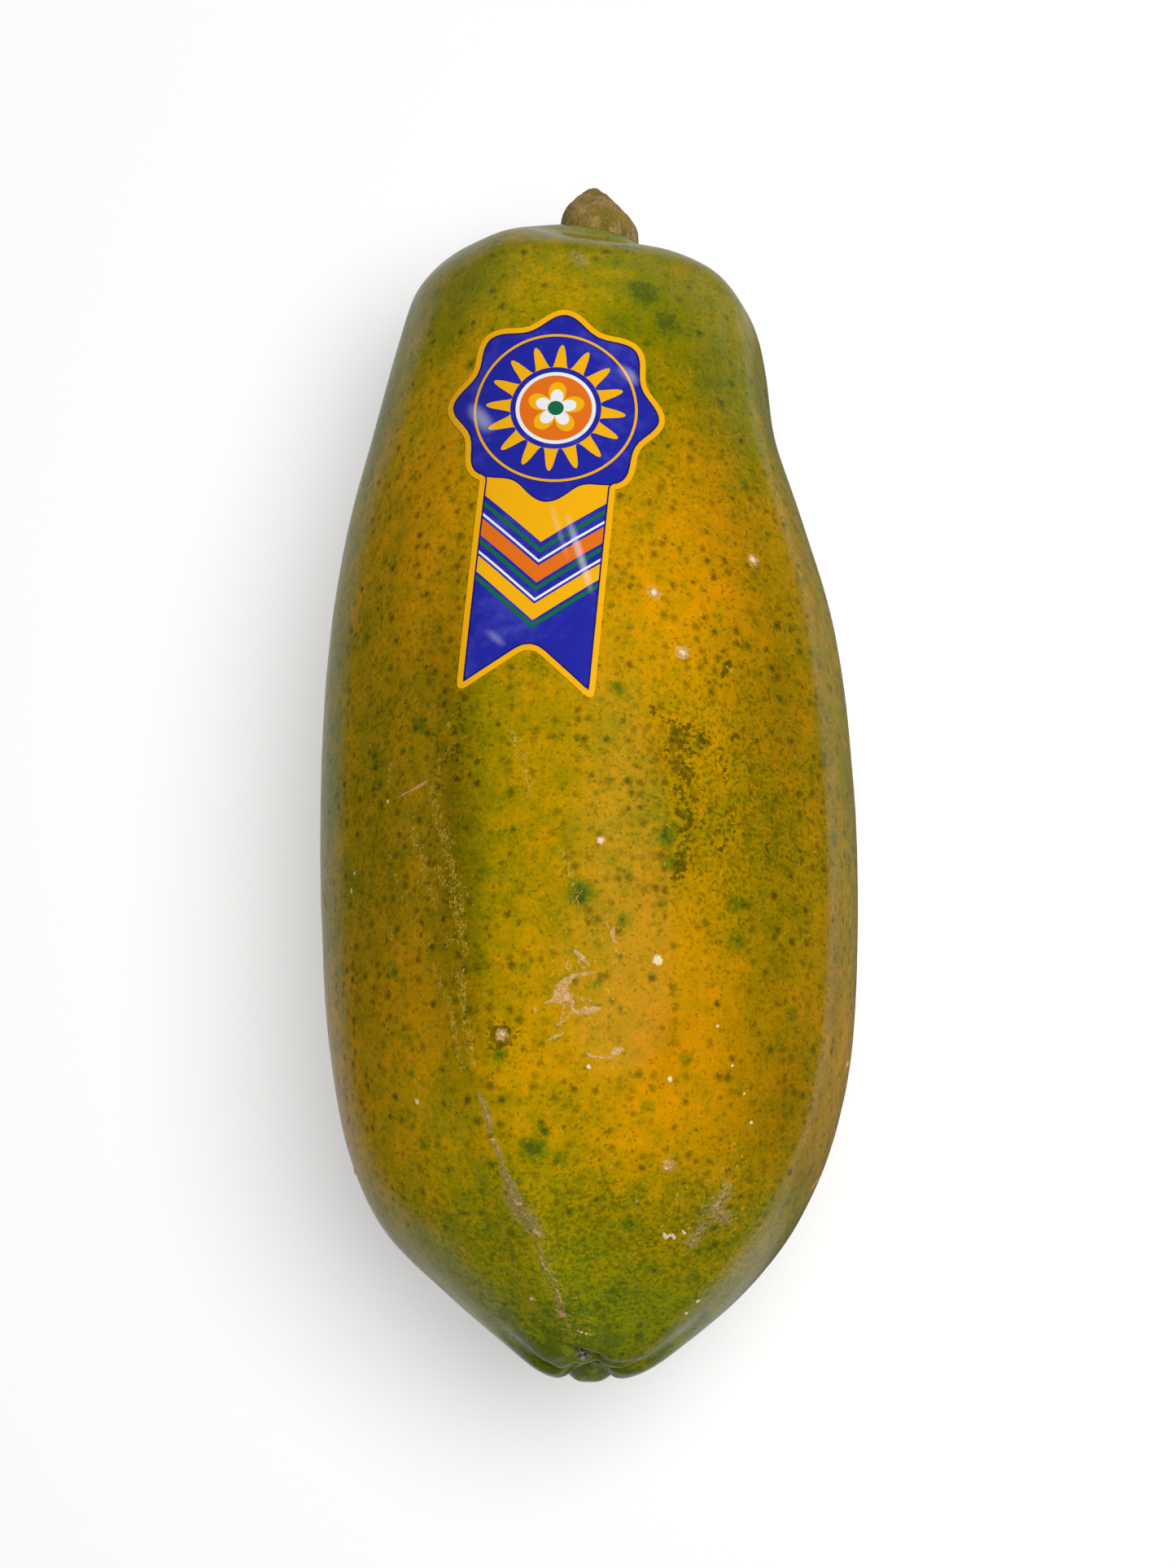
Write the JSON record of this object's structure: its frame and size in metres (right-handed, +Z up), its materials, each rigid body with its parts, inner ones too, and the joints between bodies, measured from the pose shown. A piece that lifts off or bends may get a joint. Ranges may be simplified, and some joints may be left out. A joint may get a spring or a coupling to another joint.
{
  "type": "papaya",
  "caption": "Whole long papaya lying on its side, with soft ribs, mottled skin, a short stem stub and a plain ribbon-shaped fruit label.",
  "frame": {"origin": "on the surface that the fruit lies on, under the middle of its bounding box", "axes": "+Y from the blossom end to the stem end, +Z up, away from the surface"},
  "size_m": [0.1318, 0.3002, 0.1259],
  "materials": {
    "skin": "waxy half-gloss fruit skin, mottled olive green, yellow and orange with dark specks and corky scars",
    "stem": "dry rough woody stub, brown with a green flank",
    "label_film": "glossy printed film, blue with a golden edge"
  },
  "bodies": {
    "root": {"fruit": "skin", "stem_stub": "stem", "label": "label_film"}
  },
  "joints": []
}
